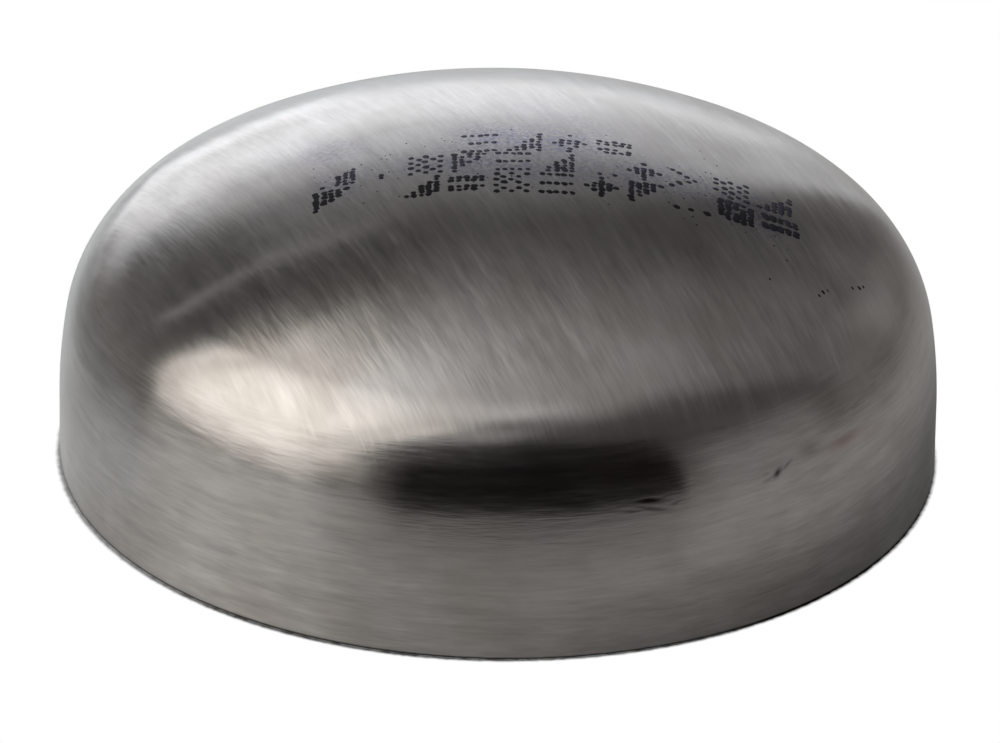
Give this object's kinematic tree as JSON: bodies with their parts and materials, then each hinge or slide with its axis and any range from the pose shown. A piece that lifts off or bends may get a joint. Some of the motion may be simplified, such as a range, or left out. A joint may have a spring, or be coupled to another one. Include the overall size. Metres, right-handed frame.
{
  "type": "sanitary weld cap",
  "caption": "Domed stainless end cap with a short straight land at its open rim, butt-welded onto a sanitary tube to close its end.",
  "frame": {"origin": "centre of the weld face, the flat rim at the open end, which is also the bottom centre of the cap as it stands", "axes": "+Z along the cap's axis, from the open end to the crown; X and Y are any two square directions across the rim"},
  "size_m": [0.051, 0.051, 0.0202],
  "materials": {
    "brushed_steel": "ground with a belt across the crown and around the skirt, satin, with small scratches"
  },
  "bodies": {
    "root": {"weld_cap": "brushed_steel"}
  },
  "joints": []
}
